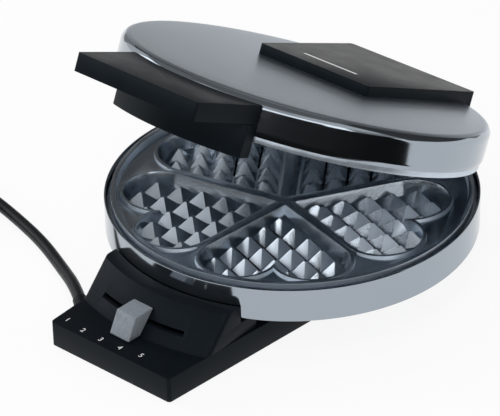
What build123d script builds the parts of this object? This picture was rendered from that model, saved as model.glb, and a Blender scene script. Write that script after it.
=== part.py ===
# Heart waffle iron with a hinged lid, lid part open, built as separate pieces.
# Millimetres. +Z up, -Y is the front with the handle and the heat control, the round body stands about X = 0.
# Every piece is drawn about the body's axis; the last step moves all of them so that Y = 0 is midway
# between the foot's front and rear edges. Lid pieces are drawn shut and then swung open about the hinge pin.
import os
from math import atan2, ceil, cos, hypot, radians, sin, sqrt, tan

from build123d import *

# Body, seen from the side
body_radius = 100.0
sheet_wall = 1.0
band_bottom = 25.6
band_top = 44.9
hem_radius = 1.1

# Lid
lid_bottom = 48.6
lid_height = 19.3
lid_crown = 0.9
shoulder_radius = 4.7
open_angle = 24.25
hinge_inset = 2.5
hinge_y = body_radius - hinge_inset
hinge_z = 54.6

# Baking plates: the upper one mirrors the lower one across the parting plane
parting_gap = 0.6
parting_z = (band_top + lid_bottom) / 2
rim_top = parting_z - parting_gap / 2
flange_gap = 0.7
flange_radius = body_radius - sheet_wall - flange_gap
flange_wall = 3.6
flange_step = 1.2
rim_step = 1.8
rim_outer = flange_radius - rim_step
rim_width = 3.2
rim_slope = 0.5
surround_top = 42.4
plate_underside = 31.2
casting_step = 5.0
casting_radius = rim_outer - casting_step
casting_edge = 1.0
lip_wall = 1.3
lip_bottom = 45.6
lip_rear_gap = 48.0

# Heart pockets and their pyramids. The hearts meet in front of the body's axis and rise outwards.
heart_count = 5
first_ridge = -90.0
half_heart = 180.0 / heart_count
star_forward = 5.2
ridge_half = 2.0
lobe_overlap = 0.46126
lobe_margin = 6.5
lobe_reach = rim_outer - rim_width - lobe_margin
wall_draft = 2.2
notch_draft = 4.0
dish_low = 39.6
dish_high = 44.7
lip_width = 1.3
lip_foot = 2.3
pocket_floor = 35.0
pyramid_pitch = 13.15
pyramid_base = 12.0
pyramid_tip = 1.2
pyramid_height = 7.0
pyramid_start = 20.4
pyramid_margin = 2.4
pyramid_rows = 5

# Foot
foot_shelf = 18.6
foot_half_front = 41.3
foot_half_middle = 50.0
foot_half_rear = 45.0
foot_taper = 20.0
foot_half_end = 31.0
foot_top = 15.3
foot_wall = 2.6
foot_lift = 0.8
foot_corner = 2.0
foot_screw_x = 26.0
foot_screw_front = 43.7
foot_screw_rear = 42.0
cover_wall = 2.4
cover_gap = 0.3
rubber_radius = 7.0
rubber_sink = 1.6
rubber_front_inset = 10.7
rubber_rear_inset = 26.0
rubber_front_x = 30.0
rubber_rear_x = 34.0
vent_half = 22.0
vent_width = 3.0
vent_pitch = 12.0
vent_count = 8
vent_first = -40.0
wire_half = 12.0
wire_front = -72.0
wire_rear = -50.0
pedestal_top = 23.6
pedestal_half = 40.0
pedestal_inset_front = 22.0
pedestal_inset_rear = 24.0
pedestal_wall = 2.4
pedestal_corner = 12.0
lever_window = 26.0

# Sheet pan under the lower plate
pan_step = 4.0
pan_slope = 11.0

# Heat control
block_top = 33.2
block_ledge = 8.5
block_slope = 15.8
block_half_top = 43.4
block_half_bottom = 43.6
block_inset = 21.0
block_wall = 2.4
block_corner = 3.5
block_band_gap = 0.5
block_top_radius = body_radius + block_ledge
block_foot_radius = block_top_radius + block_slope
block_rear = block_inset - body_radius
foot_front = -(block_foot_radius + foot_shelf)
slot_z = 22.0
slot_height = 2.2
slot_left = -14.8
slot_right = 13.0
lever_wall = 1.5
lever_width = 6.4
lever_hub = 6.5
lever_grip = 5.0
lever_rest = -1.1
spindle_radius = 3.0
turning_gap = 0.05
knob_bottom = 16.0
knob_top = 28.2
knob_width = 13.4
knob_depth_bottom = 8.6
knob_depth_top = 2.4
knob_round = 0.6
knob_gap = 0.3
spindle_collar = 1.5
spindle_end = 2.5
thermostat_radius = 10.0
thermostat_ear = 16.0
thermostat_ear_half = 4.0
thermostat_ear_wall = 1.2
thermostat_gap = 0.6
fuse_radius = 2.0
fuse_length = 16.0
fuse_place = (24.0, 14.0)
fuse_gap = 0.2
clip_wall = 0.8
clip_half = 3.0
terminal_x = 24.0
terminal_half = 8.0
terminal_height = 8.0
terminal_front = -86.0
terminal_pitch = 9.0
terminal_count = 3
terminal_end = 5.0
terminal_screw = 2.2
terminal_hole = 1.4

# Heating elements
element_radius = 2.8
element_inset = 31.5
element_ring = casting_radius - element_inset
element_sink = 1.8
element_open = 24.0
leg_drop = 12.6

# Handle and stand on the lid
handle_reach = 39.3
handle_front = -(body_radius + handle_reach)
handle_half_front = 40.0
handle_half_rear = 43.6
handle_top = 16.5
handle_bottom = 6.8
handle_wall = 2.0
handle_cover_wall = 1.6
handle_gap = 0.3
apron_gap = 0.5
apron_wall = 7.3
apron_inner = body_radius + apron_gap
apron_outer = apron_inner + apron_wall
apron_bottom = -11.3
apron_half = 43.0
stand_front = 2.0
stand_inset = 6.8
stand_rear = body_radius - stand_inset
stand_half_front = 37.0
stand_half_rear = 43.4
stand_corner = 2.0
stand_top = 25.8
stand_low = 14.0
stand_wall = 2.6

# Hinge
pin_radius = 2.5
knuckle_radius = 4.5
lid_knuckle_half = 13.0
base_knuckle_outer = 27.0
knuckle_gap = 0.4
hinge_notch_half = 31.0
hinge_notch_top = 11.6
leaf_wall = 2.5
leaf_gap = 0.3
leaf_length = 30.7
leaf_rear = hinge_y - leaf_gap
leaf_front = leaf_rear - leaf_length
leaf_rise = 3.0
leaf_bend = 3.5
leaf_screw_x = 9.0
leaf_screw_inset = 8.0
leaf_screw_head = 1.4
bracket_wall = 3.0
bracket_gap = 1.4
bracket_y = body_radius + bracket_gap
bracket_flange = 8.0
bracket_screw_x = 17.0
bracket_web_drop = 8.0
pin_head = 1.2
pin_head_length = 1.6
hinge_cover_room = 6.1
hinge_cover_rear = bracket_y + bracket_wall + hinge_cover_room
hinge_cover_top = 46.0
hinge_cover_wall = 2.2
hinge_cover_margin = 3.0
hinge_cover_round = 4.0
foot_rear_margin = 1.5
foot_rear = hinge_cover_rear + foot_rear_margin
foot_bend = foot_rear - foot_taper

# Screws
screw_radius = 2.0
screw_head_radius = 3.6
screw_head = 2.2
screw_room = 0.5
boss_radius = 4.6
boss_inset = 13.5
boss_ring = casting_radius - boss_inset
lid_screw_x = 22.0
lid_screw_inset = 16.0
lid_screw_y = element_ring - lid_screw_inset
handle_screw_x = 20.0
lug_half = 5.0
lug_depth = 4.0
stand_screw_x = 26.0
stand_screw_front = 16.0
stand_screw_rear = 74.0

# Mains lead, 1.25 m from the foot to the plug
cord_radius = 3.4
gland_length = 22.0
gland_show = 11.0
gland_radius = 4.6
gland_tip_radius = 4.0
gland_flange = 5.0
gland_fit = 0.1
exit_inset = 25.9
exit_y = foot_front + exit_inset
exit_z = 7.6
exit_turn = 35.0
coil_mid_radius = 37.5
coil_pitch = 7.4
coil_centre = (-200.0, -103.4)
coil_turns = 4.48
coil_start = 77.3
cord_straight = 8.0
cord_tail = 40.0
plug_half = 18.2
plug_shoulder = 15.0
plug_flat = 13.5
plug_length = 34.0
plug_neck = 20.0
plug_neck_radius = 8.0
blade_radius = 2.4
blade_length = 19.0
blade_spacing = 19.0
blade_root = 6.0

row_shift = -(foot_front + foot_rear) / 2


def revolved(points):
    return revolve(make_face(Polyline(*[(r, 0, z) for r, z in points], close=True)), Axis.Z)


def slab(points, bottom, top):
    face = make_face(Polyline(*[(x, y, bottom) for x, y in points], close=True))
    return extrude(face, amount=top - bottom, dir=(0, 0, 1))


def box_between(low, high):
    size = [b - a for a, b in zip(low, high)]
    middle = [(a + b) / 2 for a, b in zip(low, high)]
    return Pos(*middle) * Box(*size)


def upright(x, y, bottom, top, radius):
    return Pos(x, y, (bottom + top) / 2) * Cylinder(radius, top - bottom)


def lying(x, y, z, length, radius):
    # a rod along X, centred on x
    return Pos(x, y, z) * Rot(0, 90, 0) * Cylinder(radius, length)


def along_y(x, front, rear, z, radius):
    return Pos(x, (front + rear) / 2, z) * Rot(90, 0, 0) * Cylinder(radius, rear - front)


# Heart outline, in a frame whose first axis runs from the hearts' centre out through the heart's notch

side = radians(half_heart)


def lobe():
    # The lobes touch the ridge's side, reach lobe_reach from the hearts' centre and overlap each other by
    # twice lobe_overlap: along = start + slope * radius and across = radius - lobe_overlap
    start = (ridge_half - lobe_overlap * cos(side)) / sin(side)
    slope = (1 + cos(side)) / sin(side)
    b = start * slope - lobe_overlap + lobe_reach
    c = start**2 + lobe_overlap**2 - lobe_reach**2
    radius = (sqrt(b * b - c * slope**2) - b) / slope**2
    return start + slope * radius, radius - lobe_overlap, radius


lobe_along, lobe_across, lobe_radius = lobe()


def heart_face(inset, z):
    along, across = lobe_along, lobe_across
    radius = lobe_radius - inset
    tip = (ridge_half + inset) / sin(side)
    foot = (along - tip) * cos(side) + across * sin(side)
    touch = (tip + foot * cos(side), foot * sin(side))
    if inset > 0:
        notch = along + sqrt(lobe_radius**2 - across**2) - notch_draft
    else:
        notch = along + sqrt(radius**2 - across**2)
    reach = atan2(across, along)
    far = (along + radius * cos(reach), across + radius * sin(reach))
    right = (touch[0], -touch[1])
    right_far = (far[0], -far[1])
    edges = [
        Line((tip, 0, z), (*touch, z)),
        ThreePointArc((*touch, z), (*far, z), (notch, 0, z)),
        ThreePointArc((notch, 0, z), (*right_far, z), (*right, z)),
        Line((*right, z), (tip, 0, z)),
    ]
    return make_face(edges)


def pyramid():
    def rhombus(edge, z):
        long_half = edge * cos(side)
        wide_half = edge * sin(side)
        points = [(-long_half, 0, z), (0, -wide_half, z), (long_half, 0, z), (0, wide_half, z)]
        return make_face(Polyline(*points, close=True))

    sink = 0.4
    grow = 1 + sink / pyramid_height * (1 - pyramid_tip / pyramid_base)
    return loft([rhombus(pyramid_base * grow, -sink), rhombus(pyramid_tip, pyramid_height)], ruled=True)


def pyramid_places():
    # a rhombic grid whose two directions run along the heart's straight sides
    along, across = lobe_along, lobe_across
    places = []
    for i in range(pyramid_rows):
        for j in range(pyramid_rows):
            x = pyramid_start + (i + j) * pyramid_pitch * cos(side)
            y = (i - j) * pyramid_pitch * sin(side)
            in_lobe = hypot(x - along, abs(y) - across) < lobe_radius - wall_draft - pyramid_margin
            inside_lobes = x < along and abs(y) < across
            if in_lobe or inside_lobes or x < along - across:
                places.append((x, y))
    return places


def heart_cutter():
    # the pocket, less the pyramids that stand in it
    pocket = loft([heart_face(wall_draft, pocket_floor), heart_face(0, dish_high)], ruled=True)
    pocket += extrude(heart_face(0, dish_high), amount=1, dir=(0, 0, 1))
    peak = pyramid()
    return pocket - [Pos(x, y, pocket_floor) * peak for x, y in pyramid_places()]


def five_times(shape):
    first = first_ridge + half_heart
    centre = Pos(0, -star_forward, 0)
    return [centre * Rot(0, 0, first + 2 * half_heart * k) * shape for k in range(heart_count)]


def dish_height(radius):
    # the walls' top, a shallow cone about the hearts' centre
    return dish_low + (dish_high - dish_low) * radius / lobe_reach


def heart_walls():
    # the walls round the hearts, which stand above the surround
    foot = surround_top - casting_edge
    return loft([heart_face(-lip_foot, foot), heart_face(-lip_width, dish_high + 1)], ruled=True)


def above_dish():
    reach = lobe_reach + 3 * lip_foot
    high = dish_height(reach) + 2
    section = [(0, dish_low), (reach, dish_height(reach)), (reach, high), (0, high)]
    return Pos(0, -star_forward, 0) * revolved(section)


def ridge_points(ring, picks):
    turns = [radians(first_ridge + 2 * half_heart * pick) for pick in picks]
    return [(ring * cos(turn), ring * sin(turn) - star_forward) for turn in turns]


def grid_plate():
    disc = [
        (0, plate_underside),
        (casting_radius - casting_edge, plate_underside),
        (casting_radius, surround_top - flange_wall),
        (flange_radius, surround_top - flange_wall),
        (flange_radius, surround_top - flange_step),
        (rim_outer, surround_top - flange_step),
        (rim_outer, surround_top),
        (0, surround_top),
    ]
    rim = [
        (rim_outer, surround_top - flange_step),
        (rim_outer, rim_top),
        (rim_outer - rim_width + rim_slope, rim_top),
        (rim_outer - rim_width, surround_top),
        (rim_outer - rim_width, surround_top - flange_step),
    ]
    plate = revolved(disc)
    for wall in five_times(heart_walls()):
        plate += wall
    plate -= above_dish()
    for cutter in five_times(heart_cutter()):
        plate -= cutter
    plate += revolved(rim)
    return plate - Pos(0, 0, element_z) * Torus(element_ring, element_radius)


def mirrored(shape):
    return mirror(shape, about=Plane.XY.offset(parting_z))


element_z = plate_underside + element_sink - element_radius
pan_top = pedestal_top + sheet_wall
bosses = ridge_points(boss_ring, (1, 2, 3, 4))


def lower_waffle_plate(pattern):
    plate = pattern
    for x, y in bosses:
        plate += upright(x, y, pan_top, plate_underside + 0.5, boss_radius)
        plate -= upright(x, y, pan_top - 1, plate_underside + 4, screw_radius)
    return plate


def lower_plate_screws():
    screws = []
    for x, y in bosses:
        shank = upright(x, y, pedestal_top - 0.1, plate_underside + 3, screw_radius - 0.1)
        head = upright(x, y, pedestal_top - screw_head, pedestal_top, screw_head_radius)
        screws.append(shank + head)
    return Compound(screws)


def element_ends():
    half = radians(element_open / 2)
    return [(turn * element_ring * sin(half), element_ring * cos(half)) for turn in (-1, 1)]


def element(z, drop):
    # a near-closed ring, open at the back, whose two ends turn down as terminal legs
    start, end = [Vector(x, y, z) for x, y in element_ends()]
    ring = ThreePointArc(start, (0, -element_ring, z), end)
    rod = sweep(Plane(origin=start, z_dir=ring % 0) * Circle(element_radius), path=ring)
    for x, y in element_ends():
        rod += Pos(x, y, z) * Sphere(element_radius)
        if drop:
            rod += upright(x, y, z - drop, z, element_radius)
    return rod


def lower_shell():
    hem_centre = body_radius - hem_radius
    inner = body_radius - sheet_wall
    hem_inner = hem_centre - hem_radius
    hem_z = band_bottom + hem_radius
    edges = [
        Line((inner, 0, band_top), (body_radius, 0, band_top)),
        Line((body_radius, 0, band_top), (body_radius, 0, hem_z)),
        ThreePointArc((body_radius, 0, hem_z), (hem_centre, 0, band_bottom), (hem_inner, 0, hem_z)),
        Line((hem_inner, 0, hem_z), (hem_inner, 0, hem_z + hem_radius)),
        Line((hem_inner, 0, hem_z + hem_radius), (inner, 0, hem_z + hem_radius)),
        Line((inner, 0, hem_z + hem_radius), (inner, 0, band_top)),
    ]
    return revolve(make_face(edges), Axis.Z)


def lower_pan():
    seat = band_bottom + 2 * hem_radius
    edge = body_radius - sheet_wall
    knee = edge - pan_step
    foot = knee - pan_slope
    profile = [
        (0, pedestal_top),
        (foot, pedestal_top),
        (knee, seat),
        (edge, seat),
        (edge, seat + sheet_wall),
        (knee - sheet_wall / 2, seat + sheet_wall),
        (foot - sheet_wall / 2, pan_top),
        (0, pan_top),
    ]
    pan = revolved(profile)
    for x, y in bosses:
        pan -= upright(x, y, pedestal_top - 1, pan_top + 1, screw_radius)
    pan -= upright(0, 0, pedestal_top - 1, pan_top + 1, spindle_radius + 1)
    for x, y in element_ends():
        pan -= upright(x, y, pedestal_top - 1, pan_top + 1, element_radius + 1)
    return pan


def foot_outline(inset):
    front = foot_front + inset
    rear = foot_rear - inset
    points = [
        (foot_half_front - inset, front),
        (foot_half_middle - inset, 0),
        (foot_half_rear - inset, foot_bend - inset / 2),
        (foot_half_end - inset / 2, rear),
    ]
    return points + [(-x, y) for x, y in reversed(points)]


def foot_half(y):
    # half the foot's width at that depth, ahead of the body's axis
    return foot_half_middle + (foot_half_front - foot_half_middle) * y / foot_front


cord_exit = (-foot_half(exit_y), exit_y, exit_z)
exit_dir = (-cos(radians(exit_turn)), sin(radians(exit_turn)), 0)


def gland_plane(distance):
    origin = [p + distance * d for p, d in zip(cord_exit, exit_dir)]
    return Plane(origin=origin, z_dir=exit_dir)


def base_plate():
    shell = slab(foot_outline(0), foot_lift, foot_top)
    uprights = shell.edges().filter_by(Axis.Z)
    shell = fillet(uprights, foot_corner)
    shell -= slab(foot_outline(foot_wall), foot_lift - 1, foot_top - foot_wall)
    for x, y in foot_screws():
        shell += upright(x, y, foot_lift + cover_wall, foot_top - foot_wall + 0.5, boss_radius)
        shell -= upright(x, y, foot_lift, foot_top - foot_wall - 1, screw_radius - 0.2)
    low = foot_top - foot_wall - 1
    shell -= box_between((-wire_half, wire_front, low), (wire_half, wire_rear, foot_top + 1))
    bore = gland_plane(-gland_length / 2) * Cylinder(gland_radius + gland_fit, 2 * gland_length)
    return shell - bore


def foot_screws():
    rows = (foot_front + foot_screw_front, foot_rear - foot_screw_rear)
    return [(x, y) for x in (-foot_screw_x, foot_screw_x) for y in rows]


def base_cover():
    inset = foot_wall + cover_gap
    cover = slab(foot_outline(inset), foot_lift, foot_lift + cover_wall)
    for x, y in foot_screws():
        cover -= upright(x, y, foot_lift - 1, foot_lift + cover_wall + 1, screw_radius)
        cover -= upright(x, y, foot_lift - 1, foot_lift + screw_head / 2, screw_head_radius + 0.2)
    for x, y in rubber_places():
        cover -= upright(x, y, foot_lift - 1, foot_lift + rubber_sink, rubber_radius + 0.1)
    vent = box_between((-vent_half, 0, foot_lift - 1), (vent_half, vent_width, foot_lift + cover_wall + 1))
    vents = [Pos(0, vent_first + vent_pitch * k, 0) * vent for k in range(vent_count)]
    cover -= gland_plane(-gland_length / 2) * Cylinder(gland_flange + cover_gap, 2 * gland_length)
    return cover - vents


def rubber_places():
    front = [(x, foot_front + rubber_front_inset) for x in (-rubber_front_x, rubber_front_x)]
    return front + [(x, foot_rear - rubber_rear_inset) for x in (-rubber_rear_x, rubber_rear_x)]


def rubber_feet():
    feet = []
    for x, y in rubber_places():
        top = foot_lift + rubber_sink
        profile = [(0, 0), (rubber_radius - 1, 0), (rubber_radius, 1), (rubber_radius, top), (0, top)]
        feet.append(Pos(x, y, 0) * revolved(profile))
    return Compound(feet)


def cover_screws():
    screws = []
    for x, y in foot_screws():
        head = upright(x, y, foot_lift + 0.2, foot_lift + screw_head / 2, screw_head_radius)
        shank = upright(x, y, foot_lift + screw_head / 2 - 0.1, foot_top - foot_wall - 2, screw_radius - 0.3)
        screws.append(head + shank)
    return Compound(screws)


def pedestal():
    pedestal_front = pedestal_inset_front - body_radius
    pedestal_rear = body_radius - pedestal_inset_rear
    outer = [(-pedestal_half, pedestal_front), (pedestal_half, pedestal_front),
             (pedestal_half, pedestal_rear), (-pedestal_half, pedestal_rear)]
    ring = fillet(slab(outer, foot_top, pedestal_top).edges().filter_by(Axis.Z), pedestal_corner)
    cut = pedestal_wall
    inner = [(-pedestal_half + cut, pedestal_front + cut), (pedestal_half - cut, pedestal_front + cut),
             (pedestal_half - cut, pedestal_rear - cut), (-pedestal_half + cut, pedestal_rear - cut)]
    inside = slab(inner, foot_top - 1, pedestal_top + 1)
    ring -= fillet(inside.edges().filter_by(Axis.Z), pedestal_corner - cut)
    for x, y in bosses:
        # room for the plate's screw heads
        ring -= upright(x, y, pedestal_top - screw_head - 1, pedestal_top + 1, screw_head_radius + screw_room)
    window = box_between((-lever_window, pedestal_front - 1, foot_top + 1),
                         (lever_window, pedestal_front + cut + 1, pedestal_top + 1))
    return ring - window


def block_radius(z):
    # the block's front is a cone about the body's axis, wider towards the foot
    share = (z - foot_top) / (block_top - foot_top)
    return block_foot_radius + (block_top_radius - block_foot_radius) * share


def block_section(z, inset, rear):
    share = (z - foot_top) / (block_top - foot_top)
    half = block_half_bottom + (block_half_top - block_half_bottom) * share - inset
    radius = block_radius(z) - inset
    side_y = -sqrt(radius**2 - half**2)
    edges = [
        ThreePointArc((-half, side_y, z), (0, -radius, z), (half, side_y, z)),
        Line((half, side_y, z), (half, rear, z)),
        Line((half, rear, z), (-half, rear, z)),
        Line((-half, rear, z), (-half, side_y, z)),
    ]
    return make_face(edges)


def block_solid(inset, bottom, top, rear):
    solid = loft([block_section(bottom, inset, rear), block_section(top, inset, rear)], ruled=True)
    front = -block_top_radius * 0.8
    corners = [edge for edge in solid.edges() if edge.center().Y < front and edge_rises(edge)]
    return fillet(corners, block_corner - inset / 2)


def edge_rises(edge):
    return abs((edge @ 1).Z - (edge @ 0).Z) > 1


def arc_slot(inner, outer, bottom, top, first, last):
    # part of a ring about the body's axis, its angles measured from straight ahead
    corners = [(inner, 0, bottom), (outer, 0, bottom), (outer, 0, top), (inner, 0, top)]
    face = make_face(Polyline(*corners, close=True))
    return Rot(0, 0, first - 90) * revolve(face, Axis.Z, revolution_arc=last - first)


def control_housing():
    outer = block_solid(0, foot_top, block_top, block_rear)
    inner = block_solid(block_wall, foot_top - 1, block_top - block_wall, block_rear + 1)
    body_room = upright(0, 0, pedestal_top, block_top + 1, body_radius + block_band_gap)
    slot = arc_slot(body_radius, block_foot_radius + 5, slot_z - slot_height / 2, slot_z + slot_height / 2,
                    slot_left, slot_right)
    return outer - inner - body_room - slot


lever_bottom = slot_z - lever_wall / 2
lever_top = slot_z + lever_wall / 2
lever_reach = block_radius(slot_z) + knob_gap + lever_grip


def turned_control(shape):
    # the control is drawn straight ahead of its spindle and swung to where the photograph has it
    return Rot(0, 0, lever_rest) * shape


def lever_strip():
    return box_between((-lever_width / 2, -lever_reach, lever_bottom), (lever_width / 2, 0, lever_top))


def control_lever():
    strip = lever_strip() + upright(0, 0, lever_bottom, lever_top, lever_hub)
    return turned_control(strip - upright(0, 0, lever_bottom - 1, lever_top + 1, spindle_radius))


def thermostat_spindle():
    collar = spindle_radius + spindle_collar
    spindle = upright(0, 0, lever_bottom - 0.8, plate_underside - spindle_end, spindle_radius)
    spindle += upright(0, 0, lever_bottom - 1.6, lever_bottom, collar)
    spindle += upright(0, 0, lever_top, pedestal_top - 0.2, collar)
    return turned_control(spindle)


def knob_section(z, depth):
    # the back follows the block's cone, a running gap away from it
    half = knob_width / 2
    front = -(block_foot_radius + depth)
    rear = -(block_radius(z) + knob_gap)
    corners = [(-half, front, z), (half, front, z), (half, rear, z), (-half, rear, z)]
    return make_face(Polyline(*corners, close=True))


def slider_knob():
    low = knob_section(knob_bottom, knob_depth_bottom)
    high = knob_section(knob_top, knob_depth_top)
    knob = loft([low, high], ruled=True)
    return turned_control(fillet(knob.edges(), knob_round) - lever_strip())


def thermostat():
    low = pan_top + thermostat_gap
    case = upright(0, 0, low, plate_underside, thermostat_radius)
    case += box_between((-thermostat_ear, -thermostat_ear_half, plate_underside - thermostat_ear_wall),
                        (thermostat_ear, thermostat_ear_half, plate_underside))
    bore_top = plate_underside - spindle_end + knob_gap
    return case - upright(0, 0, low - 1, bore_top, spindle_radius + turning_gap)


def thermal_fuse():
    x, y = fuse_place
    z = plate_underside - clip_wall - fuse_gap - fuse_radius
    rod = lying(x, y, z, fuse_length, fuse_radius)
    half = fuse_radius + clip_wall
    ear = half + clip_half
    low = z - fuse_radius - clip_wall
    high = plate_underside
    strap = box_between((x - clip_half, y - ear, high - clip_wall), (x + clip_half, y + ear, high))
    strap += box_between((x - clip_half, y - half, low), (x + clip_half, y + half, high))
    return rod, strap - lying(x, y, z, fuse_length + 4, fuse_radius)


def terminal_block():
    top = foot_top - foot_wall
    low = top - terminal_height
    rear = terminal_front + 2 * terminal_end + terminal_pitch * (terminal_count - 1)
    left = terminal_x - terminal_half
    block = box_between((left, terminal_front, low), (left + 2 * terminal_half, rear, top))
    for k in range(terminal_count):
        y = terminal_front + terminal_end + terminal_pitch * k
        block -= upright(terminal_x, y, low - 1, top - 3, terminal_screw)
        block -= lying(terminal_x, y, top - 5, 2 * terminal_half + 2, terminal_hole)
    return block


def strain_relief():
    # a tapered sleeve that leaves the foot's side on a slant, with a flange inside the wall
    length = gland_length
    inside = gland_length - gland_show
    rings = 5
    sleeve = gland_plane(-inside + length / 2) * Cone(gland_radius, gland_tip_radius, length)
    flange = gland_plane(-inside + 1.5) * Cylinder(gland_flange, 3)
    sleeve += flange
    for k in range(rings):
        at = gland_show - 1.6 - 1.7 * k
        sleeve -= gland_plane(at) * (Cylinder(gland_radius + 1, 0.7) - Cylinder(gland_tip_radius - 0.15, 0.7))
    return sleeve - gland_plane(0) * Cylinder(cord_radius, 2 * length)


# Lid

def swung(shape):
    pivot = Pos(0, hinge_y, hinge_z)
    back = Pos(0, -hinge_y, -hinge_z)
    return pivot * Rot(-open_angle, 0, 0) * back * shape


def lid_solid(shrink):
    # the lid's outer form, closed below, less shrink all over
    radius = body_radius - shrink
    top = lid_bottom + lid_height - shrink
    bend = shoulder_radius - shrink
    edge = body_radius - shoulder_radius
    middle = edge / 2
    crown = top + lid_crown
    sag = lid_crown * (middle / edge)**2
    bend_mid = (edge + bend * sin(radians(45)), 0, top - bend * (1 - cos(radians(45))))
    edges = [
        Line((0, 0, lid_bottom), (0, 0, crown)),
        ThreePointArc((0, 0, crown), (middle, 0, crown - sag), (edge, 0, top)),
        ThreePointArc((edge, 0, top), bend_mid, (radius, 0, top - bend)),
        Line((radius, 0, top - bend), (radius, 0, lid_bottom)),
        Line((radius, 0, lid_bottom), (0, 0, lid_bottom)),
    ]
    return revolve(make_face(edges), Axis.Z)


def rear_notch():
    return box_between((-hinge_notch_half, hinge_y - 12, lip_bottom - 6),
                       (hinge_notch_half, body_radius + 5, lid_bottom + hinge_notch_top))


def upper_shell():
    shell = lid_solid(0) - lid_solid(sheet_wall)
    for x, y in lid_screw_places() + stand_screw_places():
        shell -= upright(x, y, lid_bottom + lid_height - 5, lid_bottom + lid_height + 5, screw_radius)
    for x in handle_screws_x():
        shell -= along_y(x, -body_radius - 5, -flange_radius + 8, handle_screw_z, screw_radius)
    return shell - rear_notch()


def lid_screw_places():
    return [(-lid_screw_x, lid_screw_y), (lid_screw_x, lid_screw_y)]


def handle_screws_x():
    return (-handle_screw_x, handle_screw_x)


flange_top_z = 2 * parting_z - surround_top
handle_screw_z = lid_bottom + (handle_bottom + handle_cover_wall + handle_top - handle_wall) / 2


def upper_waffle_plate(pattern):
    plate = mirrored(pattern)
    back = 2 * parting_z - plate_underside
    lip = revolved([
        (flange_radius - 0.4, lip_bottom),
        (flange_radius - 0.4 + lip_wall - 0.4, lip_bottom),
        (flange_radius + 0.5, lid_bottom - 0.6),
        (flange_radius, flange_top_z + flange_step),
        (flange_radius - 0.6, flange_top_z + flange_step),
    ])
    lip -= box_between((-lip_rear_gap, 0, 0), (lip_rear_gap, 2 * body_radius, 2 * lid_bottom))
    plate += lip
    inner = lid_bottom + lid_height - sheet_wall
    for x, y in lid_screw_places():
        plate += upright(x, y, back - 0.5, inner, boss_radius)
        plate -= upright(x, y, back - 1.5, inner + 1, screw_radius - 0.2)
    for x in handle_screws_x():
        lug = box_between((x - lug_half, -casting_radius - lug_depth, flange_top_z + 1),
                          (x + lug_half, -casting_radius + lug_depth, back))
        plate += lug & upright(0, 0, flange_top_z, back, flange_radius)
        plate -= along_y(x, -body_radius, -casting_radius + 3, handle_screw_z, screw_radius - 0.2)
    for x, y in leaf_screw_places():
        plate -= upright(x, y, back - 2, back + 1, screw_radius - 0.2)
    return plate - rear_notch_in_plate()


def rear_notch_in_plate():
    return box_between((-hinge_notch_half, hinge_y - knuckle_radius - 1.2, parting_z - 6),
                       (hinge_notch_half, body_radius + 5, lid_bottom + lid_height))


def lid_screws():
    screws = []
    back = 2 * parting_z - plate_underside
    for x, y in lid_screw_places():
        seat = lid_bottom + lid_height + lid_crown * (1 - (hypot(x, y) / (body_radius - shoulder_radius))**2)
        shank = upright(x, y, back - 1, seat + 0.3, screw_radius - 0.3)
        head = upright(x, y, seat + 0.2, seat + 0.2 + screw_head, screw_head_radius)
        screws.append(shank + head)
    return Compound(screws)


def handle_outline(inset, gap=0.0):
    front = handle_front + inset
    half_front = handle_half_front - inset
    half_rear = handle_half_rear - inset
    ring = body_radius + handle_gap + gap
    side_y = -sqrt(ring**2 - half_rear**2)
    return make_face([
        Line((-half_front, front, 0), (half_front, front, 0)),
        Line((half_front, front, 0), (half_rear, side_y, 0)),
        ThreePointArc((half_rear, side_y, 0), (0, -ring, 0), (-half_rear, side_y, 0)),
        Line((-half_rear, side_y, 0), (-half_front, front, 0)),
    ])


def handle_grip():
    thick = handle_top - handle_bottom
    grip = extrude(handle_outline(0), amount=thick, dir=(0, 0, 1))
    grip = fillet(grip.edges().filter_by(Axis.Z), 1.5)
    hollow = extrude(handle_outline(handle_wall, handle_wall), amount=thick - handle_wall, dir=(0, 0, 1))
    grip -= hollow
    grip = Pos(0, 0, lid_bottom + handle_bottom) * grip
    for x in handle_screws_x():
        grip -= along_y(x, -body_radius - 6, -body_radius + 6, handle_screw_z, screw_radius)
    return grip


def handle_cover():
    inset = handle_wall + 0.2
    cover = extrude(handle_outline(inset, inset), amount=handle_cover_wall, dir=(0, 0, 1))
    return Pos(0, 0, lid_bottom + handle_bottom) * cover


def handle_screws():
    screws = []
    head_radius = (handle_top - handle_wall - handle_bottom - handle_cover_wall) / 2 - 0.2
    for x in handle_screws_x():
        wall_y = -sqrt((body_radius + handle_gap + handle_wall)**2 - (abs(x) - head_radius)**2)
        shank = along_y(x, wall_y - 0.1, -casting_radius + 1, handle_screw_z, screw_radius - 0.3)
        head = along_y(x, wall_y - screw_head, wall_y, handle_screw_z, head_radius)
        screws.append(shank + head)
    return Compound(screws)


def handle_apron():
    ring = upright(0, 0, lid_bottom + apron_bottom, lid_bottom + handle_bottom, apron_outer)
    ring -= upright(0, 0, lid_bottom + apron_bottom - 1, lid_bottom + handle_bottom + 1, apron_inner)
    front = box_between((-apron_half, -2 * body_radius, 0), (apron_half, -body_radius / 2, 2 * lid_bottom))
    return ring & front


def stand_outline(inset):
    front = stand_front + inset
    rear = stand_rear - inset
    half_front = stand_half_front - inset
    half_rear = stand_half_rear - inset
    return [(-half_front, front), (half_front, front), (half_rear, rear), (-half_rear, rear)]


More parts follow.
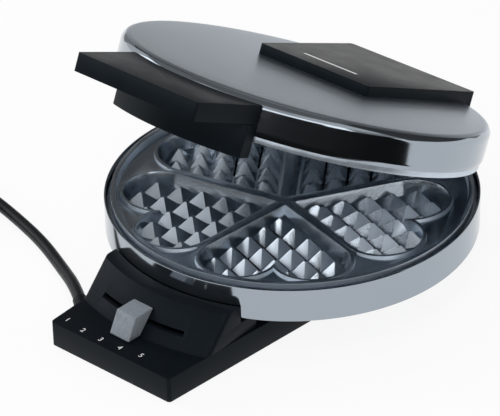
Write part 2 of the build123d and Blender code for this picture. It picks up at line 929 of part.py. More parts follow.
def lid_stand():
    outer = slab(stand_outline(0), lid_bottom + stand_low, lid_bottom + stand_top)
    outer = fillet(outer.edges().filter_by(Axis.Z), stand_corner)
    under = lid_bottom + stand_top - stand_wall
    outer -= slab(stand_outline(stand_wall), lid_bottom + stand_low - 1, under)
    for x, y in stand_screw_places():
        outer += upright(x, y, lid_bottom + lid_height - 2, under + 0.5, boss_radius)
    outer -= lid_solid(0)
    for x, y in stand_screw_places():
        outer -= upright(x, y, lid_bottom + lid_height - 3, under - 0.4, screw_radius - 0.3)
    return outer


def stand_screw_places():
    return [(x, y) for x in (-stand_screw_x, stand_screw_x) for y in (stand_screw_front, stand_screw_rear)]


def stand_screws():
    # from inside the lid up into the stand's bosses
    screws = []
    for x, y in stand_screw_places():
        low = lid_inside(x, y)
        head = upright(x, y, low - screw_head, low - 0.05, screw_head_radius)
        shank = upright(x, y, low - 0.1, lid_bottom + stand_top - stand_wall - 0.5, screw_radius - 0.3)
        screws.append(head + shank)
    return Compound(screws)


def lid_inside(x, y):
    # height of the lid's inner face at that place
    share = hypot(x, y) / (body_radius - shoulder_radius)
    return lid_bottom + lid_height - sheet_wall + lid_crown * (1 - share**2)


# Hinge

def knuckle(low_x, high_x):
    ring = lying((low_x + high_x) / 2, hinge_y, hinge_z, high_x - low_x, knuckle_radius)
    return ring - lying((low_x + high_x) / 2, hinge_y, hinge_z, high_x - low_x + 2, pin_radius + turning_gap)


def lid_hinge_leaf():
    back = 2 * parting_z - plate_underside
    half = lid_knuckle_half
    top = back + leaf_wall
    drop_y = leaf_rear - leaf_wall
    low = hinge_z + leaf_rise
    path = [(leaf_front, back), (drop_y - leaf_bend, back), (drop_y, low), (leaf_rear, low),
            (leaf_rear, top), (leaf_front, top)]
    face = make_face(Polyline(*[(-half, y, z) for y, z in path], close=True))
    leaf = extrude(face, amount=2 * half, dir=(1, 0, 0))
    leaf += knuckle(-half, half)
    leaf -= lying(0, hinge_y, hinge_z, 4 * half, pin_radius + turning_gap)
    for x, y in leaf_screw_places():
        leaf -= upright(x, y, back - 1, top + 1, screw_radius)
    return leaf


def leaf_screw_places():
    return [(x, leaf_front + leaf_screw_inset) for x in (-leaf_screw_x, leaf_screw_x)]


def leaf_screws():
    back = 2 * parting_z - plate_underside
    screws = []
    for x, y in leaf_screw_places():
        top = back + leaf_wall
        shank = upright(x, y, back - 1.6, top + 0.1, screw_radius - 0.3)
        head = upright(x, y, top, top + leaf_screw_head, screw_head_radius)
        screws.append(shank + head)
    return Compound(screws)


def hinge_bracket():
    inner = lid_knuckle_half + knuckle_gap
    outer = base_knuckle_outer
    wall = bracket_wall
    lift = band_top + 0.8
    sheet = [(bracket_y, foot_top), (bracket_y + wall, foot_top), (bracket_y + wall, lift),
             (hinge_y + 2.5, hinge_z - 2), (hinge_y - 1.5, hinge_z - 3), (bracket_y, lift)]
    rear = bracket_y + wall
    bracket = box_between((-outer, bracket_y - bracket_flange, foot_top), (outer, rear, foot_top + wall))
    for low, high in ((-outer, -inner), (inner, outer)):
        face = make_face(Polyline(*[(low, y, z) for y, z in sheet], close=True))
        bracket += extrude(face, amount=high - low, dir=(1, 0, 0))
        bracket += knuckle(low, high)
    bracket += box_between((-inner, bracket_y, foot_top), (inner, rear, band_top - bracket_web_drop))
    bracket -= lying(0, hinge_y, hinge_z, 4 * outer, pin_radius + turning_gap)
    for x in (-bracket_screw_x, bracket_screw_x):
        bracket -= upright(x, bracket_y - bracket_flange / 2, foot_top - 1, foot_top + wall + 1, screw_radius)
    return bracket


def hinge_pin():
    half = base_knuckle_outer
    pin = lying(0, hinge_y, hinge_z, 2 * half + 1, pin_radius)
    head = lying(-half - pin_head_length * 0.75, hinge_y, hinge_z, pin_head_length, pin_radius + pin_head)
    return pin + head


def hinge_cover():
    low = foot_top
    half = base_knuckle_outer + hinge_cover_margin
    front = bracket_y - 0.4
    outer = box_between((-half, front, low), (half, hinge_cover_rear, hinge_cover_top))
    outer = chamfer(outer.edges().filter_by(Axis.X).sort_by(Axis.Z)[-1], hinge_cover_round)
    outer = fillet(outer.edges().filter_by(Axis.Z).group_by(Axis.Y)[-1], hinge_cover_round)
    room = box_between((-half + hinge_cover_wall, front - 1, low - 1),
                       (half - hinge_cover_wall, bracket_y + bracket_wall + 0.3, hinge_cover_top + 1))
    return outer - room


# Mains lead

def lead_route():
    # from the exit along the table, out of the left of the view, to the coil's first turn
    dx, dy, _ = exit_dir
    x, y, z = cord_exit
    start = (x + gland_show * dx, y + gland_show * dy, z)
    before_coil = coil_entry() - coil_tangent(0) * 20
    return [
        start,
        (x + 26 * dx, y + 26 * dy, z - 0.4),
        (-84.4, -90.6, cord_radius + 0.1),
        (-111.5, -78.2, cord_radius),
        (-140.0, -69.6, cord_radius),
        tuple(before_coil),
        tuple(coil_entry()),
    ]


def coil_entry():
    # where the free stretch meets the coil's first straight diameter
    return Vector(*coil_point(0)) - coil_tangent(0) * cord_straight


def tail_end():
    # the tail rises from the upper layer to the plug's middle height
    end = Vector(*coil_point(coil_turns))
    heading = Vector(coil_tangent(coil_turns).X, coil_tangent(coil_turns).Y, 0).normalized()
    return Vector(end.X, end.Y, plug_flat) + heading * cord_tail, heading


def coil_point(turn):
    angle = radians(coil_start + 360 * turn)
    radius = coil_spiral(turn)
    x = coil_centre[0] + radius * cos(angle)
    y = coil_centre[1] + radius * sin(angle)
    return (x, y, coil_height(turn))


def coil_spiral(turn):
    inner = coil_mid_radius - coil_pitch * coil_turns / 4
    return inner + coil_pitch * abs(turn - coil_turns / 2)


def coil_height(turn):
    # the second layer starts in the half turn where the spiral turns back
    share = min(max((turn - coil_turns / 2 + 0.25) / 0.5, 0), 1)
    return cord_radius + coil_pitch * share * share * (3 - 2 * share)


def coil_tangent(turn):
    step = 1e-4
    a = Vector(*coil_point(turn - step))
    b = Vector(*coil_point(turn + step))
    return (b - a).normalized()


def tube_along(points):
    corners = [Vector(*p) for p in points]
    radii = []
    for before, here, after in zip(corners, corners[1:], corners[2:]):
        turn = (here - before).get_angle(after - here)
        shorter = min((here - before).length, (after - here).length)
        radii.append(0.45 * shorter / tan(radians(turn / 2)))
    print("lead radii in mm:", [round(r, 1) for r in radii])
    path = FilletPolyline(*points, radius=radii)
    start_plane = Plane(origin=corners[0], z_dir=corners[1] - corners[0])
    return sweep(start_plane * Circle(cord_radius), path=path), path.length


def biarc(start, end, start_dir, end_dir):
    # two arcs that leave start along start_dir and reach end along end_dir
    span = end - start
    sum_dir = start_dir + end_dir
    drop = 2 * (1 - start_dir.dot(end_dir))
    b = span.dot(sum_dir)
    if abs(drop) < 1e-9:
        d = span.dot(span) / (4 * span.dot(end_dir))
    else:
        d = (-b + sqrt(b * b + drop * span.dot(span))) / drop
    joint = (start + end + (start_dir - end_dir) * d) / 2
    joint_dir = (joint - start - start_dir * d).normalized()
    return [Edge.make_tangent_arc(start, start_dir, joint), Edge.make_tangent_arc(joint, joint_dir, end)]


def coil_path():
    steps = ceil(coil_turns * 4)
    turns = [coil_turns * k / steps for k in range(steps + 1)]
    edges = [Edge.make_line(coil_entry(), Vector(*coil_point(0)))]
    for a, b in zip(turns, turns[1:]):
        edges += biarc(Vector(*coil_point(a)), Vector(*coil_point(b)), coil_tangent(a), coil_tangent(b))
    tail, heading = tail_end()
    edges += biarc(Vector(*coil_point(coil_turns)), tail, coil_tangent(coil_turns), heading)
    edges.append(Edge.make_line(tail, tail + heading * cord_straight))
    return Wire(edges)


def cord_coil():
    path = coil_path()
    gap = least_gap(path)
    print("coil length", round(path.length, 1), "least gap of the coil to itself in mm:", round(gap, 2))
    start_plane = Plane(origin=path @ 0, z_dir=path % 0)
    return sweep(start_plane * Circle(cord_radius), path=path), path.length


def least_gap(path):
    count = 400
    points = [path @ (k / count) for k in range(count + 1)]
    apart = ceil(4 * cord_radius / (path.length / count))
    least = min((points[i] - points[j]).length
                for i in range(len(points)) for j in range(i + apart, len(points)))
    return least - 2 * cord_radius


def plug_plane(distance):
    tail, heading = tail_end()
    return Plane(origin=tail + heading * (cord_straight + distance), z_dir=heading, x_dir=(0, 0, 1))


def plug_body():
    # a round plug with two flats, its long axis along the table
    neck = plug_plane(plug_neck / 2) * Cone(cord_radius + 1.0, plug_neck_radius, plug_neck)
    body = plug_plane(plug_neck + plug_length / 2) * Cone(plug_shoulder, plug_half, plug_length)
    flats = plug_plane(plug_neck + plug_length / 2) * Box(2 * plug_flat, 4 * plug_half, 2 * plug_length)
    body = body & flats
    face = plug_plane(plug_neck + plug_length)
    for side_y in (-1, 1):
        socket = Pos(0, side_y * blade_spacing / 2, 0) * Cylinder(blade_radius, 2 * blade_root)
        body -= face * socket
    return neck + body


def plug_pins():
    pins = []
    for side_y in (-1, 1):
        rod = Cylinder(blade_radius, blade_length + blade_root)
        tip = Pos(0, 0, (blade_length + blade_root) / 2) * Sphere(blade_radius)
        pin = Pos(0, side_y * blade_spacing / 2, (blade_length - blade_root) / 2) * (rod + tip)
        pins.append(plug_plane(plug_neck + plug_length) * pin)
    return Compound(pins)


def all_nodes():
    pattern = grid_plate()
    fuse, fuse_clip = thermal_fuse()
    lead, lead_length = tube_along(lead_route())
    coil, coil_length = cord_coil()
    print("lead from exit to plug in mm:", round(lead_length + gland_show + coil_length, 1))
    upper_z = 2 * parting_z - element_z
    base = {
        "base_plate": base_plate(),
        "base_cover": base_cover(),
        "rubber_feet": rubber_feet(),
        "cover_screws": cover_screws(),
        "pedestal": pedestal(),
        "control_housing": control_housing(),
        "lower_shell": lower_shell(),
        "lower_pan": lower_pan(),
        "lower_waffle_plate": lower_waffle_plate(pattern),
        "lower_plate_screws": lower_plate_screws(),
        "lower_heating_element": element(element_z, leg_drop),
        "thermostat": thermostat(),
        "thermal_fuse": fuse,
        "fuse_clip": fuse_clip,
        "terminal_block": terminal_block(),
        "hinge_bracket": hinge_bracket(),
        "hinge_pin": hinge_pin(),
        "hinge_cover": hinge_cover(),
        "strain_relief": strain_relief(),
        "power_cord": lead,
        "cord_coil": coil,
        "plug_body": plug_body(),
        "plug_pins": plug_pins(),
        "thermostat_spindle": thermostat_spindle(),
        "control_lever": control_lever(),
        "slider_knob": slider_knob(),
    }
    lid = {
        "upper_shell": upper_shell(),
        "upper_waffle_plate": upper_waffle_plate(pattern),
        "upper_heating_element": element(upper_z, 0),
        "lid_screws": lid_screws(),
        "handle_grip": handle_grip(),
        "handle_cover": handle_cover(),
        "handle_screws": handle_screws(),
        "handle_apron": handle_apron(),
        "lid_stand": lid_stand(),
        "stand_screws": stand_screws(),
        "lid_hinge_leaf": lid_hinge_leaf(),
        "leaf_screws": leaf_screws(),
    }
    nodes = dict(base)
    nodes.update({name: swung(shape) for name, shape in lid.items()})
    return {name: Pos(0, row_shift, 0) * shape for name, shape in nodes.items()}


os.makedirs("parts", exist_ok=True)
for name, shape in all_nodes().items():
    export_step(shape, f"parts/{name}.step")
    print(name, round(shape.volume))
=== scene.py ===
import math

import bmesh
import bpy
from mathutils import Matrix, Vector


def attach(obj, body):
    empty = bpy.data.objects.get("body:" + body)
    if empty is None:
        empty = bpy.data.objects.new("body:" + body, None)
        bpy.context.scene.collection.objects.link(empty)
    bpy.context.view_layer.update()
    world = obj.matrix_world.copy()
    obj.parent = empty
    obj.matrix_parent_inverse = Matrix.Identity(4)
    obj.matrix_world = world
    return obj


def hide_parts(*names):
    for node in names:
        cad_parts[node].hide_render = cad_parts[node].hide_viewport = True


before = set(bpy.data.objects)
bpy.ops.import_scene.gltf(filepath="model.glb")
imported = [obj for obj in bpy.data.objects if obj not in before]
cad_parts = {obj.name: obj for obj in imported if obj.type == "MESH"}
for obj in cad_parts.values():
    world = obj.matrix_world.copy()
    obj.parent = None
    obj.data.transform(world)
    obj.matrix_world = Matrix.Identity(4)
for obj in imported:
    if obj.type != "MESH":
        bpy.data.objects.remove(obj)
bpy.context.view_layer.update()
print("frame loaded")

mm = 0.001
weld = 0.00001  # metres, points closer than this are one point
rowShift = 15.45  # mm from the round body's axis to the middle of the foot

# The round body and the lid's hinge, in mm about the body's own axis, the lid shut
body = dict(radius=100.0, lidBottom=48.6)
hinge = dict(y=97.5, z=54.6, openAngle=24.25)

bpy.context.scene.view_settings.view_transform = "Standard"


def bodyPoint(x, y, z):
    # a point given in mm about the body's axis, in metres of the frame
    return Vector((x * mm, (y + rowShift) * mm, z * mm))


def lidSwing():
    # from the shut lid to the lid as it stands open at rest
    pivot = Matrix.Translation(bodyPoint(0, hinge["y"], hinge["z"]))
    return pivot @ Matrix.Rotation(-math.radians(hinge["openAngle"]), 4, "X") @ pivot.inverted()


def deselect():
    if bpy.context.mode != "OBJECT":
        bpy.ops.object.mode_set(mode="OBJECT")
    bpy.ops.object.select_all(action="DESELECT")


def only(obj):
    deselect()
    obj.select_set(True)
    bpy.context.view_layer.objects.active = obj
    return obj


def named(obj, name):
    obj.name = name
    obj.data.name = name
    return obj


def settle(obj, matrix=None):
    # the place goes into the mesh, so that the object sits at the origin
    if matrix is not None:
        obj.matrix_world = matrix @ obj.matrix_world
    only(obj)
    bpy.ops.object.transform_apply(location=True, rotation=True, scale=True)
    return obj


def applied(obj, kind, **settings):
    modifier = obj.modifiers.new(kind.title(), kind)
    for key, value in settings.items():
        setattr(modifier, key, value)
    only(obj)
    bpy.ops.object.modifier_apply(modifier=modifier.name)
    return obj


def editing(obj, mode="VERT"):
    only(obj)
    bpy.ops.object.mode_set(mode="EDIT")
    bpy.ops.mesh.select_mode(type=mode)
    bpy.ops.mesh.select_all(action="DESELECT")
    return bmesh.from_edit_mesh(obj.data)


def doneEditing():
    bpy.ops.object.mode_set(mode="OBJECT")


def smooth(obj, degrees=35):
    only(obj)
    bpy.ops.object.shade_smooth_by_angle(angle=math.radians(degrees))
    return obj


def dress(obj, material, bodyName=None):
    obj.data.materials.clear()
    obj.data.materials.append(material)
    if bodyName:
        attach(obj, bodyName)
    return obj


# Materials

def grey(tone, cast=1.0):
    # the photograph's greys lean a little to blue
    return (tone * (1 - 0.11 * cast), tone, tone * (1 + 0.12 * cast))


class Recipe:
    # a principled material and the nodes that shape it, on Object coordinates
    def __init__(self, name):
        self.material = bpy.data.materials.new(name)
        self.material.use_nodes = True
        self.nodes = self.material.node_tree.nodes
        self.links = self.material.node_tree.links
        self.shader = self.nodes["Principled BSDF"]
        self.place = self.nodes.new("ShaderNodeTexCoord").outputs["Object"]

    def set(self, **values):
        for key, value in values.items():
            self.shader.inputs[key.replace("_", " ")].default_value = value
        return self

    def node(self, kind, inputs, **settings):
        made = self.nodes.new("ShaderNode" + kind)
        for key, value in settings.items():
            setattr(made, key, value)
        for key, value in inputs.items():
            socket = made.inputs[key]
            if isinstance(value, bpy.types.NodeSocket):
                self.links.new(value, socket)
            else:
                socket.default_value = value
        return made

    def stretched(self, scale):
        return self.node("Mapping", {"Vector": self.place, "Scale": scale}).outputs["Vector"]

    def noise(self, scale, detail=2.0, vector=None):
        made = self.node("TexNoise", {"Vector": vector or self.place, "Scale": scale, "Detail": detail})
        return made.outputs["Fac"]

    def colour(self, factor, low, high):
        # the colour wanders between two tones
        made = self.node("Mix", {"Factor": factor}, data_type="RGBA")
        tones = dict(A=(*low, 1), B=(*high, 1))
        for socket in made.inputs:
            if socket.type == "RGBA":
                socket.default_value = tones[socket.name]
        mixed = [out for out in made.outputs if out.type == "RGBA"][0]
        self.links.new(mixed, self.shader.inputs["Base Color"])
        return self

    def rough(self, factor, low, high):
        made = self.node("MapRange", {"Value": factor, "To Min": low, "To Max": high})
        self.links.new(made.outputs["Result"], self.shader.inputs["Roughness"])
        return self

    def bump(self, height, distance):
        made = self.node("Bump", {"Height": height, "Distance": distance})
        self.links.new(made.outputs["Normal"], self.shader.inputs["Normal"])
        return self


def mouldedBlack(name, tone=0.007, roughness=0.36):
    look = Recipe(name).set(Metallic=0.0, IOR=1.22, Specular_IOR_Level=0.4, Specular_Tint=(0.7, 0.85, 1, 1))
    look.colour(look.noise(34.0, 3.0), grey(tone * 0.8, 3), grey(tone * 1.25, 3))
    look.rough(look.noise(70.0, 4.0), roughness - 0.07, roughness + 0.09)
    return look.bump(look.noise(1400.0), 0.05 * mm).material


def satinDisc(name, tone=0.72):
    # fine rings about the lid's axis, the lid standing open
    look = Recipe(name).set(Metallic=1.0)
    pivot = bodyPoint(0, hinge["y"], hinge["z"])
    tilt = math.radians(hinge["openAngle"])
    centred = look.node("VectorMath", {0: look.place, 1: tuple(pivot)}, operation="SUBTRACT")
    shut = look.node("Mapping", {"Vector": centred.outputs["Vector"], "Rotation": (tilt, 0, 0)})
    onAxis = look.node("VectorMath", {0: shut.outputs["Vector"], 1: (0, hinge["y"] * mm, 0)}, operation="ADD")
    parts = look.node("SeparateXYZ", {"Vector": onAxis.outputs["Vector"]}).outputs
    flat = look.node("CombineXYZ", {"X": parts["X"], "Y": parts["Y"]}).outputs["Vector"]
    radius = look.node("VectorMath", {0: flat}, operation="LENGTH").outputs["Value"]
    rings = look.noise(5200.0, 2.0, look.node("CombineXYZ", {"X": radius}).outputs["Vector"])
    look.colour(look.noise(18.0, 3.0), grey(tone * 0.94), grey(tone * 1.05))
    look.rough(rings, 0.26, 0.42)
    return look.bump(rings, 0.02 * mm).material


def polishedSheet(name, tone=0.4, roughness=0.09):
    look = Recipe(name).set(Metallic=1.0)
    look.colour(look.noise(22.0, 3.0), grey(tone * 0.95), grey(tone * 1.04))
    streak = look.noise(60.0, 3.0, look.stretched((1, 1, 40)))
    return look.rough(streak, roughness - 0.03, roughness + 0.05).material


def castPlate(name, tone=0.5):
    look = Recipe(name).set(Metallic=1.0)
    look.colour(look.noise(40.0, 4.0), grey(tone * 0.86), grey(tone * 1.1))
    look.rough(look.noise(120.0, 4.0), 0.2, 0.3)
    return look.bump(look.noise(900.0), 0.06 * mm).material


def plainMetal(name, tone=0.5, roughness=0.34):
    look = Recipe(name).set(Metallic=1.0)
    look.colour(look.noise(60.0, 4.0), grey(tone * 0.9), grey(tone * 1.06))
    return look.rough(look.noise(150.0, 4.0), roughness - 0.06, roughness + 0.1).material


def paleMould(name, low, high, roughness=0.38, grain=90.0, streaks=1.0):
    look = Recipe(name).set(Metallic=0.0)
    look.colour(look.noise(grain, 4.0, look.stretched((1, 1, 1 / streaks))), low, high)
    look.rough(look.noise(120.0, 3.0), roughness - 0.05, roughness + 0.08)
    return look.bump(look.noise(1600.0), 0.04 * mm).material


def softRubber(name, tone, roughness):
    look = Recipe(name).set(Metallic=0.0, Specular_IOR_Level=0.25)
    look.colour(look.noise(60.0, 3.0), grey(tone * 0.8, 2), grey(tone * 1.3, 2))
    look.rough(look.noise(200.0, 3.0), roughness - 0.08, roughness + 0.08)
    return look.bump(look.noise(1100.0), 0.04 * mm).material


finishes = dict(
    foot=mouldedBlack("blackMouldFoot"),
    handle=mouldedBlack("blackMouldHandle", roughness=0.34),
    disc=satinDisc("satinLid"),
    band=polishedSheet("polishedBand"),
    plate=castPlate("castPlate"),
    # lighter metal for the plates' bare rims, lightened further as a painted highlight, and for the heart
    # walls' outer sides as a painted highlight
    rim=plainMetal("machinedRimPaintedHighlight", 0.72, 0.4),
    inner=plainMetal("plainSteel"),
    dulled=plainMetal("heatDulledSteel", 0.24, 0.45),
    screws=plainMetal("zincScrews", 0.55, 0.3),
    pins=plainMetal("nickelPins", 0.7, 0.18),
    knob=paleMould("greyKnob", grey(0.17), grey(0.36), grain=900.0, streaks=9.0),
    ceramic=paleMould("paleBlock", (0.6, 0.59, 0.55), (0.7, 0.69, 0.65), 0.5),
    paint=paleMould("whitePaint", (0.78, 0.78, 0.78), (0.86, 0.86, 0.86), 0.5),
    rubber=softRubber("footRubber", 0.03, 0.65),
    sheath=softRubber("leadSheath", 0.008, 0.4),
)
print("materials made")

# CAD nodes that stay as they are, by the finish that they take

carried = dict(
    foot=("base_cover", "pedestal", "hinge_cover"),
    handle=("handle_cover",),
    inner=("lower_pan", "hinge_bracket", "hinge_pin", "lid_hinge_leaf", "thermostat", "thermostat_spindle",
           "thermal_fuse", "fuse_clip", "control_lever"),
    screws=("cover_screws", "lower_plate_screws", "lid_screws", "handle_screws", "stand_screws",
            "leaf_screws"),
    dulled=("lower_heating_element", "upper_heating_element"),
    ceramic=("terminal_block",),
    rubber=("rubber_feet",),
    sheath=("strain_relief",),
    pins=("plug_pins",),
)
for finish, nodes in carried.items():
    for node in nodes:
        smooth(dress(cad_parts[node], finishes[finish]))
print("carried nodes finished")

# Steel sheets: each starts as a plain ring, and its open edges are carried along a profile


def openRing(name, radius, bottom, top, sides=192):
    deselect()
    bpy.ops.mesh.primitive_cylinder_add(vertices=sides, radius=radius * mm, depth=(top - bottom) * mm,
                                        end_fill_type="NOTHING", location=bodyPoint(0, 0, (bottom + top) / 2))
    return settle(named(bpy.context.active_object, name))


def pickRim(obj, height, upper):
    # the ring's upper or lower open edge, which lies at this height
    mesh = editing(obj, "EDGE")
    side = 1 if upper else -1
    for edge in mesh.edges:
        edge.select_set(all(side * (vert.co.z - height * mm) > -weld for vert in edge.verts))
    bmesh.update_edit_mesh(obj.data)


def carryRim(points):
    # the picked edge goes along (radius, height) pairs, of which it is at the first
    for before, after in zip(points, points[1:]):
        step = (0, 0, (after[1] - before[1]) * mm)
        bpy.ops.mesh.extrude_region_move(TRANSFORM_OT_translate={"value": step})
        ratio = after[0] / before[0]
        bpy.ops.transform.resize(value=(ratio, ratio, 1), center_override=bodyPoint(0, 0, 0))


def arc(radius, height, bend, degrees):
    # points of a bend about (radius, height)
    turns = [math.radians(angle) for angle in degrees]
    return [(radius + bend * math.cos(turn), height + bend * math.sin(turn)) for turn in turns]


def closeSheet(obj, wall):
    # the surface is welded up and gets its wall on the inside
    bpy.ops.mesh.select_all(action="SELECT")
    bpy.ops.mesh.remove_doubles(threshold=weld)
    bpy.ops.mesh.normals_make_consistent(inside=False)
    doneEditing()
    applied(obj, "SOLIDIFY", thickness=wall * mm, offset=-1.0)


# The hem's pairs are inwards from the side and upwards from the lower edge. The support is a short strip of
# the side beside the bend, which keeps the bend's shading off the flat side.
lidSheet = dict(
    height=19.3, wall=1.0, shoulder=4.7, shoulderAngles=range(0, 91, 9), support=0.6,
    crown=0.9, crownRings=(0.86, 0.66, 0.46, 0.26, 0.1),
    hem=((0, 3.2), (0, 2.3), (0.02, 2.2), (0.16, 1.6), (0.32, 1.0), (0.48, 0.4), (0.6, 0.05)),
    discEdge=0.75,  # the satin disc starts this far below the shoulder's top
)
notch = dict(half=31.0, front=85.5, rear=106.0, bottom=42.0, rise=11.6)  # the hinge's room in the lid's side


def makeLidShell():
    radius = body["radius"]
    bottom = body["lidBottom"]
    top = bottom + lidSheet["height"]
    bend = lidSheet["shoulder"]
    sideLow = bottom + lidSheet["hem"][0][1]
    sideHigh = top - bend - lidSheet["support"]
    obj = openRing("lidShell", radius, sideLow, sideHigh)
    pickRim(obj, sideHigh, True)
    edge = radius - bend
    crown = [(edge * share, top + lidSheet["crown"] * (1 - share**2)) for share in lidSheet["crownRings"]]
    carryRim([(radius, sideHigh)] + arc(edge, top - bend, bend, lidSheet["shoulderAngles"]) + crown)
    bpy.ops.mesh.merge(type="CENTER")
    pickRim(obj, sideLow, False)
    carryRim([(radius - inwards, bottom + height) for inwards, height in lidSheet["hem"]])
    closeSheet(obj, lidSheet["wall"])
    cutNotch(obj, bottom + notch["rise"])
    obj.data.materials.append(finishes["band"])
    obj.data.materials.append(finishes["disc"])
    level = (top - lidSheet["discEdge"]) * mm
    for face in obj.data.polygons:
        face.material_index = 1 if face.center.z > level else 0
    smooth(obj, 30)
    settle(obj, lidSwing())
    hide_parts("upper_shell")
    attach(obj, "lid")


def cutNotch(obj, top):
    deselect()
    middle = bodyPoint(0, (notch["front"] + notch["rear"]) / 2, (notch["bottom"] + top) / 2)
    bpy.ops.mesh.primitive_cube_add(size=1, location=middle)
    cutter = bpy.context.active_object
    depth = notch["rear"] - notch["front"]
    cutter.scale = (2 * notch["half"] * mm, depth * mm, (top - notch["bottom"]) * mm)
    settle(cutter)
    applied(obj, "BOOLEAN", operation="DIFFERENCE", solver="EXACT", object=cutter)
    only(cutter)
    bpy.ops.object.delete()


# The lip's pairs are inwards from the side and downwards from the upper edge
baseBand = dict(
    bottom=25.6, top=44.9, wall=0.6, hem=1.1, hemAngles=range(0, -181, -20), support=0.5,
    lip=((0, 0.9), (0, 0.4), (0.12, 0.1), (0.4, 0), (1, 0), (1, 3)),
)


def makeBaseBand():
    radius = body["radius"]
    bottom = baseBand["bottom"]
    hem = baseBand["hem"]
    sideLow = bottom + hem + baseBand["support"]
    sideHigh = baseBand["top"] - baseBand["lip"][0][1]
    obj = openRing("baseBand", radius, sideLow, sideHigh)
    pickRim(obj, sideLow, False)
    roll = arc(radius - hem, bottom + hem, hem, baseBand["hemAngles"])
    carryRim([(radius, sideLow)] + roll + [(radius - 2 * hem, bottom + 2 * hem)])
    pickRim(obj, sideHigh, True)
    carryRim([(radius - inwards, baseBand["top"] - drop) for inwards, drop in baseBand["lip"]])
    closeSheet(obj, baseBand["wall"])
    dress(smooth(obj), finishes["band"], "base")
    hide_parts("lower_shell")


makeLidShell()
makeBaseBand()
print("steel sheets made")

# Plates, foot, control, handle and stand: the CAD solids with their edges rounded as a mould rounds them

rounding = dict(bevelAngle=28, flatAngle=0.6)
roundedPieces = [
    dict(node="lower_waffle_plate", name="lowerPlate", width=0.28, segments=2, finish="plate", body="base",
         slot="cast_plate"),
    dict(node="upper_waffle_plate", name="upperPlate", width=0.28, segments=2, finish="plate", body="lid",
         slot="cast_plate"),
    dict(node="base_plate", name="footPlate", width=0.9, segments=3, finish="foot", body="base",
         slot="black_plastic"),
    dict(node="control_housing", name="controlBlock", width=0.8, segments=3, finish="foot", body="base",
         slot="black_plastic"),
    dict(node="handle_grip", name="lidHandle", width=1.4, segments=3, finish="handle", body="lid",
         slot="black_plastic"),
    dict(node="handle_apron", name="handleApron", width=0.7, segments=3, finish="handle", body="lid",
         slot="black_plastic"),
    dict(node="lid_stand", name="rearStand", width=1.7, segments=3, finish="handle", body="lid",
         slot="black_plastic"),
    dict(node="slider_knob", name="sliderKnob", width=0.3, segments=2, finish="knob", body="heat_slider",
         slot="grey_plastic"),
    dict(node="plug_body", name="plugBody", width=0.8, segments=3, finish="sheath", body="base",
         slot="lead_rubber"),
]


def copyOf(node, name):
    # a CAD node's own mesh, joined up, flat parts made whole
    only(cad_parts[node])
    bpy.ops.object.duplicate()
    obj = named(bpy.context.view_layer.objects.active, name)
    obj.parent = None
    editing(obj)
    bpy.ops.mesh.select_all(action="SELECT")
    bpy.ops.mesh.remove_doubles(threshold=weld)
    bpy.ops.mesh.dissolve_limited(angle_limit=math.radians(rounding["flatAngle"]))
    doneEditing()
    return obj


def rounded(node, name, width, segments):
    obj = copyOf(node, name)
    applied(obj, "BEVEL", width=width * mm, segments=segments, limit_method="ANGLE",
            angle_limit=math.radians(rounding["bevelAngle"]), use_clamp_overlap=True, miter_outer="MITER_ARC",
            harden_normals=False)
    smooth(obj)
    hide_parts(node)
    return obj


made = {}
for piece in roundedPieces:
    obj = rounded(piece["node"], piece["name"], piece["width"], piece["segments"])
    made[piece["name"]] = dress(obj, finishes[piece["finish"]], piece["body"])

# Lighter metal on the plates: all that lies beyond the turned rim's radius, bare metal lightened further as a
# painted highlight, and the heart walls' outer sides, a painted highlight, from wallsFrom mm off the hearts'
# meeting point and between the two heights given for each plate
rimAndPaintedHighlight = dict(rimRadius=92.9, heartsForward=5.2, wallsFrom=40.0, outward=0.25, upright=0.85,
            lowerPlate=(38.0, 44.9), upperPlate=(48.6, 55.5))


def bareRims(name, swing):
    obj = made[name]
    obj.data.materials.append(finishes["rim"])
    back = swing.inverted()
    low, high = rimAndPaintedHighlight[name]
    middle = bodyPoint(0, 0, 0)
    hearts = bodyPoint(0, -rimAndPaintedHighlight["heartsForward"], 0)
    for face in obj.data.polygons:
        spot = back @ face.center
        normal = back.to_3x3() @ face.normal
        reach = (spot - hearts).xy
        outward = normal.xy.dot(reach.normalized()) if reach.length > rimAndPaintedHighlight["wallsFrom"] * mm else 0
        # the heart walls' outer sides take the lighter metal as a painted highlight; the rim beyond rimRadius
        # is bare metal, also lightened as a painted highlight
        wall = outward > rimAndPaintedHighlight["outward"] and abs(normal.z) < rimAndPaintedHighlight["upright"] and low * mm < spot.z < high * mm
        if wall or (spot - middle).xy.length > rimAndPaintedHighlight["rimRadius"] * mm:
            face.material_index = 1


bareRims("lowerPlate", Matrix())
bareRims("upperPlate", lidSwing())
print("moulded and cast pieces made")

# Heat scale: plain numbers on the foot, each in front of its place of the slider

heatScale = dict(size=4.6, depth=0.05, height=15.32, places=((-35.4, -136.5), (-22.5, -138.4), (-9.7, -138.6),
                                                             (3.1, -138.0), (16.1, -136.1)))


def makeScale():
    numbers = []
    for number, (x, y) in enumerate(heatScale["places"], start=1):
        deselect()
        bpy.ops.object.text_add(location=(0, 0, 0))
        text = bpy.context.active_object
        text.data.body = str(number)
        text.data.size = heatScale["size"] * mm
        text.data.align_x = "CENTER"
        text.data.align_y = "CENTER"
        text.data.extrude = heatScale["depth"] * mm
        bpy.ops.object.convert(target="MESH")
        text.location = bodyPoint(x, y, heatScale["height"])
        numbers.append(settle(text))
    deselect()
    for text in numbers:
        text.select_set(True)
    bpy.context.view_layer.objects.active = numbers[0]
    bpy.ops.object.join()
    dress(named(bpy.context.active_object, "scaleNumbers"), finishes["paint"], "base")


# The plain pale line let into the rear slab's top, on the shut lid
inlay = dict(x=-2.0, y=19.5, rise=25.6, length=36.0, width=2.4, depth=0.5)


